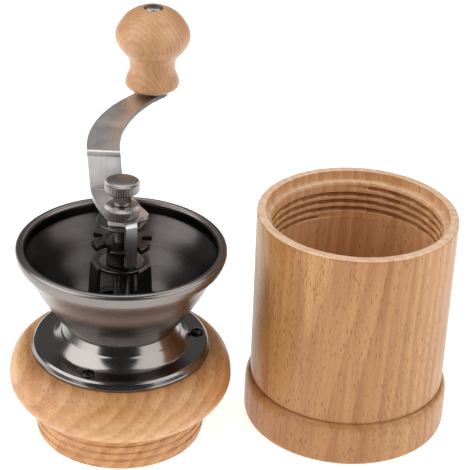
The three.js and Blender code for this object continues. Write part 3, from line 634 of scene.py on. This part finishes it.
def make_knob():
    bottom, top = levels("knob")
    bore, head, seat_depth = 2.9, 4.8, 2.8
    waist = curve([(10.9, 0.1), (12.8, 0.8), (13.75, 2.5), (13.3, 5.3), (11.9, 9.0), (11.55, 12.2),
                   (11.95, 15.2), (13.5, 18.3), (16.5, 21.7), (18.7, 26), (18.8, 30), (17.4, 33.4),
                   (14.0, 38.1), (10.7, 40.6)], 7)
    profile = [(bore, bottom), (10.4, bottom)]
    profile += [(radius, bottom + z) for radius, z in waist]
    profile += [(7.5, top - 0.55), (6.0, top - 0.05), (head + 0.2, top), (head, top - 0.3)]
    profile += [(head, top - seat_depth), (bore, top - seat_depth)]
    knob = turned("turned_knob", profile, GRIP_STEPS, GRIP_AXIS)
    finished(knob, "knob", "knob", KNOB_WOOD)


# ------------------------------------------------------------ sheet metal
def make_hopper():
    foot, rim = levels("hopper")
    wide = reach("hopper")
    hole, foot_radius, cone_top, rim_inner, sheet, wall = 24.9, 27.0, 92.6, 45.4, 1.2, 1.4
    widest = rim - 2
    middle, half = (wide + rim_inner) / 2, (wide - rim_inner) / 2
    roll = [(middle + half * x, widest + 2 * y) for x, y in (around(1, d) for d in range(0, 181, 9))]
    bowl = [(31.4, 66), (35.4, 72), (39.1, 78), (42.8, 85.5)]
    outside = curve([(foot_radius + 0.1, foot + 0.7), *bowl, (46.3, 91.6), (46.7, cone_top - 0.1)], 8)
    outside += curve([(47.2, cone_top + 0.1), (48.4, cone_top + 0.9), (wide - 0.6, cone_top + 2.6),
                      (wide - 0.06, widest - 1.2)], 6)
    inside = curve([(rim_inner, widest - 0.8), (rim_inner, cone_top + 2.2), (45.2, cone_top + 0.2),
                    *[(radius - wall, z) for radius, z in reversed(bowl)],
                    (foot_radius - 0.8, foot + 2.2)], 8)
    profile = [(hole, foot), (foot_radius, foot), *outside, *roll, *inside, (foot_radius - 1.0, foot + sheet),
               (hole, foot + sheet)]
    hopper = turned("spun_hopper", profile, FINE)
    finished(hopper, "head", "hopper", HOPPER_METAL, 50)
    # painted shade: the inner wall below the rim takes the dark copy of the plating
    repaint(hopper, HOPPER_INSIDE_PAINTED_SHADE, lambda radius, z, outward, normal: outward < 0 and z < widest - 0.8)


def screw_holes(circle, angles, radius, bottom, top):
    """Upright cutters on a circle round the head's axis."""
    holes = []
    for degrees in angles:
        x, y = around(circle, degrees)
        centre = (HEAD_AXIS[0] + x, HEAD_AXIS[1] + y)
        drill = [(0, bottom), (radius, bottom), (radius, top), (0, top)]
        holes.append(turned("hole", drill, HOLE_STEPS, centre))
    return holes


def make_flange():
    bottom, top = levels("flange")
    wide = reach("flange")
    sheet, ring, ring_inner, neck, crease, crease_z = 0.8, 49.3, 33.9, 26.3, 28.7, 54.9
    cove_steps, hollow = 14, 1.5
    cove = []
    for i in range(cove_steps + 1):
        part = i / cove_steps
        rise = (crease_z - 0.2 - ring) * part**hollow
        cove.append((ring_inner + (crease - ring_inner) * part, ring + rise))
    wall = rounded([(wide, bottom), (wide, bottom + 0.9, 0.2), (wide - 0.25, bottom + 1.3, 0.2),
                    (wide - 1.0, ring - 0.9, 1.2), (wide - 2.0, ring, 0.8), (ring_inner + 1, ring)], 6)
    cone = [(crease - 0.35, crease_z), (crease - 0.45, crease_z + 0.25), (neck + 0.1, top - 0.4), (neck, top)]
    under = [(neck - sheet, top), (crease - sheet, crease_z - sheet),
             (ring_inner - sheet, ring - sheet - 0.2), (wide - 2.4, ring - sheet),
             (wide - 1.2 - sheet, ring - 2), (wide - 1 - sheet, bottom)]
    flange = turned("spun_flange", [*wall, *cove, *cone, *under], FINE)
    combine(flange, screw_holes(**FLANGE_SCREW, radius=1.75, bottom=45, top=55))
    finished(flange, "head", "flange", FLANGE_METAL, 50)


def make_bridge():
    _, top = levels("bridge")
    foot_top = 52.0
    disc, sheet, leg_width, leg_top, leg_foot, foot_reach, bore = 13.2, 1.8, 9.0, 14.0, 16.4, 20.9, 5.3
    bridge = turned("bridge_frame", rounded([
        (bore, top - 2.2), (disc - 2.2, top - 2.2, 0.4), (disc, top - sheet, 0.4), (disc, top, 0.3),
        (disc - 0.7, top, 0.25), (disc - 2.8, top - 0.9, 1.2), (bore, top - 0.9)], 4), MEDIUM)
    side = rounded([
        (disc - 3.2, top - 1.0), (disc - 1.2, top - 0.1), (leg_top, top - 0.1, 1.4),
        (leg_foot, foot_top, 0.6), (foot_reach, foot_top), (foot_reach, foot_top - sheet),
        (leg_foot - sheet, foot_top - sheet, 2.0), (leg_top - sheet, top - sheet - 0.4, 0.4),
        (disc - 3.2, top - sheet - 0.4)], 5)
    legs = [upright_strip("leg", side, leg_width, degrees) for degrees in BRIDGE_LEGS["angles"]]
    combine(bridge, legs, "UNION")
    combine(bridge, screw_holes(**BRIDGE_LEGS, radius=1.45, bottom=foot_top - 4, top=foot_top + 1))
    softened(bridge, 0.22)
    finished(bridge, "head", "bridge", DARK_NICKEL)


# ------------------------------------------------------------ the crank
def make_crank():
    low, upper = 115.7, 134.3  # top of the strip at the hub and at the grip
    riser_at, riser_slope, bend, lean = 26.5, 0.14, 2.4, -1.3
    near, far, broad = -20, 120, 80  # beyond the outline on all sides
    outer, inner = (69.5, 41.5, 88.0), (89.3, 42.5, 92.0)
    grip_x, grip_y, lobe = GRIP_AXIS[0] - HEAD_AXIS[0], GRIP_AXIS[1] - HEAD_AXIS[1], 8.0
    tab_root, tab_face, tab_width, tab_bottom = 6.5, 11.7, 5.6, 93.6
    screw_hole = 2.7

    def edge(arc, start, end, steps):
        """The arm's edge on an arc (x, y, radius) between two values of y."""
        heights = [start + (end - start) * i / steps for i in range(steps + 1)]
        return [(arc[0] - math.sqrt(arc[2] ** 2 - (y - arc[1]) ** 2), y) for y in heights]

    outline = edge(inner, 25, grip_y - 8.2, 40)
    outline += [(grip_x - lean + x, grip_y + y) for x, y in (around(lobe, d) for d in range(-50, 171, 8))]
    outline += edge(outer, grip_y - 5.5, -4.5, 48)
    outline += curve([(-6, -7.2), (-4.6, -8), (1.6, -8.9), (3.4, -8.6)], 3)
    outline += curve([(7.6, -6.2), (8.4, -3.6), (10.1, -1.5), (11.9, -0.2), (12.3, 1.4), (11.2, 4.2),
                      (8.5, 8.6), (5.6, 14.5), (1.6, 20.5)], 5)
    front, back, tight = riser_at - SHEET / 2, riser_at + SHEET / 2, bend - SHEET

    def corner(y, z, radius, start, end):
        """A bend of the strip, seen from the side."""
        return [(y + a, z + b) for a, b in (around(radius, start + (end - start) * i / 8) for i in range(9))]

    section = [(near, low - SHEET), *corner(back - bend, low - SHEET + bend, bend, -90, 0),
               *corner(back + tight, upper - SHEET - tight, tight, 180, 90),
               (far, upper - SHEET), (far, upper), *corner(front + bend, upper - bend, bend, 90, 180),
               *corner(front - tight, low + tight, tight, 0, -90), (near, low)]
    section = [(y + riser_slope * (z - (low + upper - SHEET) / 2), z) for y, z in section]
    arm = prism("bent_crank", outline, low - 10, upper + 10)
    combine(arm, [upright_strip("strip", section, broad, 90)], "INTERSECT")
    for vertex in arm.data.vertices:  # the riser leans to one side and takes the grip's end with it
        rise = (vertex.co.z / MM - low) / (upper - SHEET - low)
        vertex.co.x += lean * MM * min(max(rise, 0), 1)
    tab_back = tab_face - SHEET
    side = rounded([(tab_root, low - SHEET + 0.02), (tab_back, low - SHEET + 0.02, 0.6),
                    (tab_back, tab_bottom), (tab_face, tab_bottom), (tab_face, low - 0.02, 1.7),
                    (tab_root, low - 0.02)], 6)
    combine(arm, [upright_strip("tab", side, tab_width, TAB_ANGLE)], "UNION")
    screw = [around(screw_hole, d) for d in range(0, 360, 12)]
    combine(arm, [prism("bore", SHAFT_FLATS, low - 8, low + 5),
                  prism("screw", screw, upper - 10, upper + 9, GRIP_AXIS)])
    softened(arm, 0.28, 2, 40)
    finished(arm, "crank", "crank_arm", ARM_NICKEL)
    # painted shade: upright faces more than 30 mm from the axis take the dark copy of the nickel
    repaint(arm, ARM_EDGE_PAINTED_SHADE, lambda radius, z, outward, normal: abs(normal.z) < 0.6 and radius > 30)


def slot_cutter(degrees, inner, outer, bottom, top):
    """A cutter for a slot that runs outwards between two ends of (radial, half width)."""
    x, y = around(1, degrees)
    corners = []
    for radial, half in ((inner[0], -inner[1]), (outer[0], -outer[1]), outer, inner):
        corners.append((radial * x - half * y, radial * y + half * x))
    return prism("slot", corners, bottom - 1, top + 1)


def make_wheel():
    bottom, top = levels("adjuster_wheel")
    wide = reach("adjuster_wheel")
    rim_bottom, hub, bore = 100.6, 7.0, 4.2
    notch_root, notch_mouth = (9.3, 3.0), (22, 5.4)
    wheel = turned("notched_wheel", rounded([
        (bore, bottom), (hub, bottom, 0.4), (hub, rim_bottom + 1.0, 0.5), (wide, rim_bottom, 0.2),
        (wide, top, 0.4), (hub + 0.6, top, 0.3), (hub - 0.2, top - 0.3, 0.3), (bore, top - 0.3)], 4), MEDIUM)
    angles = [TAB_ANGLE + 360 / NOTCHES * i for i in range(NOTCHES)]
    combine(wheel, [slot_cutter(degrees, notch_root, notch_mouth, bottom, top) for degrees in angles])
    softened(wheel, 0.22)
    finished(wheel, "adjuster", "adjuster_wheel", WHEEL_NICKEL)


def make_drive_washer():
    bottom, top = levels("drive_washer")
    wide = reach("drive_washer")
    dish = turned("dished_washer", rounded([(0, bottom), (8.6, bottom, 0.5), (wide, bottom + 1.1, 0.3),
                                            (wide, top, 0.5), (0, top)], 4), MEDIUM)
    combine(dish, [slot_cutter(TAB_ANGLE, (9.3, 3.3), (20, 3.3), bottom, top),
                   prism("bore", SHAFT_FLATS, bottom - 1, top + 1)])
    softened(dish, 0.15)
    finished(dish, "spindle", "drive_washer", WHEEL_NICKEL)


def knurled_nut(node, profile, bottom, top, wide):
    """A nut with fine teeth round its rim between two heights."""
    relief = knurl_relief(bottom, top, wide)
    nut = turned(f"knurled_{node}", profile, KNURL_TEETH * STEPS_PER_TOOTH, relief=relief)
    finished(nut, node, node, TURNED_NICKEL, 60)
    # painted shade: the knurled band takes the nickel with dark stripes between the teeth
    repaint(nut, KNURLED_NICKEL_PAINTED_SHADE, lambda radius, z, outward, normal: abs(normal.z) < 0.5 and radius > wide - 1)


def make_nuts():
    wide, bore, row = 8.2, 3.15, 0.5
    bottom, top = levels("lock_nut")
    profile = rounded([(bore, bottom), (wide - 0.6, bottom, 0.2), (wide, bottom + 0.7, 0.3),
                       (wide, top - 1.6, 0.5), (6.1, top, 0.5), (bore, top)], 3)
    profile = divided(profile, bottom + 0.5, top - 1.2, row)
    knurled_nut("lock_nut", profile, bottom + 0.1, top - 0.8, wide)
    bottom, top = levels("cap_nut")
    neck, head_bottom, blind = 4.35, 128.2, 131.7
    profile = rounded([(bore, bottom), (neck, bottom, 0.3), (neck, head_bottom, 0.5),
                       (wide - 0.6, head_bottom, 0.2), (wide, head_bottom + 0.6, 0.3),
                       (wide, top - 1.3, 0.3), (wide - 1.1, top - 0.6, 0.6), (wide - 3.5, top - 0.15),
                       (0, top), (0, blind), (bore, blind)], 3)
    profile = divided(profile, head_bottom + 0.4, top - 0.7, row)
    knurled_nut("cap_nut", profile, head_bottom, top - 0.5, wide)


def make_shaft():
    bottom, top = levels("shaft")
    radius, stud, lower_stud, shoulder, flat_top = 4.0, 2.9, 12.6, 111.0, 115.5
    thread_bottom, turns, row = 55, 44, 0.14
    profile = [(0, bottom), (stud, bottom), (stud, lower_stud), (radius, lower_stud),
               (radius, thread_bottom), (radius, shoulder), (stud, shoulder), (stud, flat_top),
               (stud, top), (0, top)]
    profile = divided(profile, thread_bottom, shoulder, row)
    thread = thread_relief(SHAFT_THREAD, thread_bottom + 0.5, turns, 0, radius - 0.7, radius + 0.1, 0.5)

    def sunk(wide, z, angle):
        """The wall is cut back to the root, so that the thread's crests reach the shaft's radius."""
        cut = (wide > radius - 0.7) & (z > thread_bottom) & (z < shoulder)
        return thread(wide, z, angle) - SHAFT_THREAD["depth"] * cut

    shaft = turned("threaded_shaft", profile, COARSE, relief=sunk)
    finished(shaft, "spindle", "shaft", SHAFT_STEEL)


def make_spring():
    """Round wire wound up from its washer. It stops short of the guide bush, because in a pose it
    moves up unsqueezed."""
    bottom, _ = levels("spring")
    wire, radius, pitch, turns = 0.5, 5.9, 2.2, 3.9
    steps, sides = 160, 10
    places, faces = [], []
    for i in range(steps + 1):
        laps = turns * i / steps
        x, y = around(1, 360 * laps)
        for k in range(sides):
            out, up = around(wire, 360 * k / sides)
            places.append(((radius + out) * x, (radius + out) * y, bottom + wire + pitch * laps + up))
    for i in range(steps):
        for k in range(sides):
            a, b = i * sides + k, i * sides + (k + 1) % sides
            faces.append((a, b, b + sides, a + sides))
    faces += [tuple(range(sides)), tuple(range(steps * sides, (steps + 1) * sides))]
    spring = new_piece("wound_spring", places, faces, HEAD_AXIS)
    finished(spring, "spindle", "spring", STEEL)


# ------------------------------------------------------------ fasteners
def cross_cutters(axis, length, width, bottom, top):
    """The two bars of a cross recess."""
    return [prism("cross", rectangle(a, b), bottom, top, axis)
            for a, b in ((length / 2, width / 2), (width / 2, length / 2))]


def make_pan_screws(name, count, body, thread_radius, head_radius, head_height, material):
    """Screws with a point, a domed head and a cross recess."""
    for i in range(1, count + 1):
        node = f"{name}_{i}"
        axis = axis_of(node)
        bottom, top = levels(node)
        seat = top - head_height
        dome = [(head_radius * math.cos(a), seat + head_height * 0.45 + head_height * 0.55 * math.sin(a))
                for a in np.linspace(0, math.pi / 2, 9)]
        profile = [(0, bottom), (thread_radius * 0.7, bottom + 1.5), (thread_radius, bottom + 3),
                   (thread_radius, seat), (head_radius, seat), *dome[:-1], (0, top)]
        screw = turned(f"pan_{node}", profile, SCREW_STEPS, axis)
        recess = top - head_height * 0.6
        combine(screw, cross_cutters(axis, head_radius * 1.15, head_radius * 0.26, recess, top + 1))
        softened(screw, 0.05, 1)
        finished(screw, body, node, material)


def make_knob_screw():
    bottom, top = levels("knob_screw")
    shank, head = 2.5, 4.5
    seat = top - 3.7
    dome = curve([(head, top - 1.1), (head * 0.86, top - 0.45), (head * 0.55, top - 0.1), (0, top)], 5)
    profile = [(0, bottom), (shank, bottom), (shank, seat), (head, seat), *dome]
    screw = turned("domed_knob_screw", profile, COARSE, GRIP_AXIS)
    combine(screw, cross_cutters(GRIP_AXIS, head * 0.8, 0.8, top - 1.0, top + 1))
    softened(screw, 0.06, 1)
    finished(screw, "crank", "knob_screw", TURNED_NICKEL)


def make_ring_pieces():
    """Washers and other plain rings: a rounded square section with a hole."""
    rings = (("knob_washer", "crank", 2.7, DARK_NICKEL, "black_steel", GRIP_AXIS),
             ("thrust_washer", "adjuster", 4.3, POLYMER, "polymer", HEAD_AXIS),
             ("spring_washer", "spindle", 4.3, STEEL, "steel", HEAD_AXIS),
             ("burr_washer", "spindle", 3.15, STEEL, "steel", HEAD_AXIS))
    for node, body, bore, material, slot, axis in rings:
        bottom, top = levels(node)
        wide = reach(node)
        edge = (top - bottom) * 0.3
        profile = rounded([(bore, bottom, edge / 2), (wide, bottom, edge),
                           (wide, top, edge), (bore, top, edge / 2)], 4)
        finished(turned(f"round_{node}", profile, MEDIUM, axis), body, node, material)


def dress_cad_nodes():
    """Materials of the CAD nodes that keep their shape."""
    materials = {
        "burr_housing": POLYMER, "guide_spider": POLYMER, "guide_bush": BRONZE, "bridge_bush": BRONZE,
        "outer_burr": CERAMIC, "inner_burr": CERAMIC, "burr_retainer": STEEL, "burr_nut": STEEL,
        "knob_nut": TURNED_NICKEL,
    }
    for name in ("housing_screw", "retainer_screw"):
        for i in (1, 2, 3):
            materials[f"{name}_{i}"] = STEEL
    for node, material in materials.items():
        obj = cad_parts[node]
        obj.data.materials.clear()
        obj.data.materials.append(material)


make_jar()
make_collar()
make_knob()
make_hopper()
make_flange()
make_bridge()
make_crank()
make_wheel()
make_drive_washer()
make_nuts()
make_shaft()
make_spring()
make_pan_screws("flange_screw", 3, "head", 1.4, 3.0, 1.5, BLACK_STEEL)
make_pan_screws("bridge_screw", 3, "head", 1.25, 1.9, 1.2, BLACK_STEEL)
make_knob_screw()
make_ring_pieces()
dress_cad_nodes()


# ------------------------------------------------------------ studio
def make_floor():
    """A plain light table, a hair below what stands on it."""
    half_width, gap = 6.0, 0.0002
    mesh = bpy.data.meshes.new("floor")
    mesh.from_pydata([(x, y, 0) for x, y in rectangle(half_width, half_width)], [], [(0, 1, 2, 3)])
    floor = bpy.data.objects.new("floor", mesh)
    bpy.context.scene.collection.objects.link(floor)
    floor.location.z = cad_low.z - gap
    s = Shader("light_table", Roughness=0.9, Emission_Strength=0.8, Emission_Color=(1, 1, 1, 1))
    s.main.inputs["Base Color"].default_value = (0.8, 0.8, 0.8, 1)
    s.main.inputs["Specular IOR Level"].default_value = 0.1
    mesh.materials.append(s.material)


def make_softbox(name, azimuth, elevation, width, height, radiance):
    """An area light that faces the pair, at an azimuth counted from the viewer's side."""
    aim, distance = Vector((-0.055, 0, 0.08)), 1.05
    light = bpy.data.lights.new(name, "AREA")
    light.shape = "RECTANGLE"
    light.size = width
    light.size_y = height
    light.energy = radiance * math.pi * width * height
    box = bpy.data.objects.new(name, light)
    bpy.context.scene.collection.objects.link(box)
    a, e = math.radians(azimuth), math.radians(elevation)
    away = Vector((math.sin(a) * math.cos(e), -math.cos(a) * math.cos(e), math.sin(e)))
    box.location = aim + away * distance
    box.rotation_euler = away.to_track_quat("Z", "Y").to_euler()
    box.visible_camera = False


def make_world():
    """Dim on the viewer's side and lighter behind."""
    world = bpy.data.worlds.new("studio")
    bpy.context.scene.world = world
    world.use_nodes = True
    nodes, links = world.node_tree.nodes, world.node_tree.links
    place = nodes.new("ShaderNodeTexCoord")
    split = nodes.new("ShaderNodeSeparateXYZ")
    links.new(place.outputs["Generated"], split.inputs[0])

    def ramp(source, low, high, start, end):
        node = nodes.new("ShaderNodeMapRange")
        node.interpolation_type = "SMOOTHSTEP"
        links.new(source, node.inputs["Value"])
        for key, value in (("From Min", low), ("From Max", high), ("To Min", start), ("To Max", end)):
            node.inputs[key].default_value = value
        return node.outputs["Result"]

    behind = ramp(split.outputs["Y"], -0.2, 0.8, 0.05, 0.18)
    links.new(behind, nodes["Background"].inputs["Strength"])
    nodes["Background"].inputs["Color"].default_value = (1, 1, 1, 1)


def make_camera():
    """The viewpoint: in front of the pair and above it, turned down and very slightly rolled."""
    pitch, roll = 0.4995, 0.0426
    eye = Vector((-58.10, -755.80, 508.43))
    forward = Vector((0, math.cos(pitch), -math.sin(pitch)))
    side = Vector((1, 0, 0))
    above = side.cross(forward)
    right = side * math.cos(roll) + above * math.sin(roll)
    up = above * math.cos(roll) - side * math.sin(roll)
    camera = bpy.data.objects.new("camera", bpy.data.cameras.new("camera"))
    bpy.context.scene.collection.objects.link(camera)
    camera.data.lens = 137.45
    camera.data.sensor_width = 36
    camera.data.clip_end = 20
    camera.matrix_world = Matrix((right, up, -forward)).transposed().to_4x4()
    camera.location = eye * MM
    bpy.context.scene.camera = camera


make_floor()
make_softbox("softbox_left", -69, 34, 1.15, 1.05, 2.5)
make_softbox("softbox_right", 69, 34, 1.15, 1.05, 1.85)
make_softbox("softbox_top", 180, 70, 1.1, 0.6, 1.9)
make_world()
make_camera()
bpy.context.scene.view_settings.view_transform = "Standard"
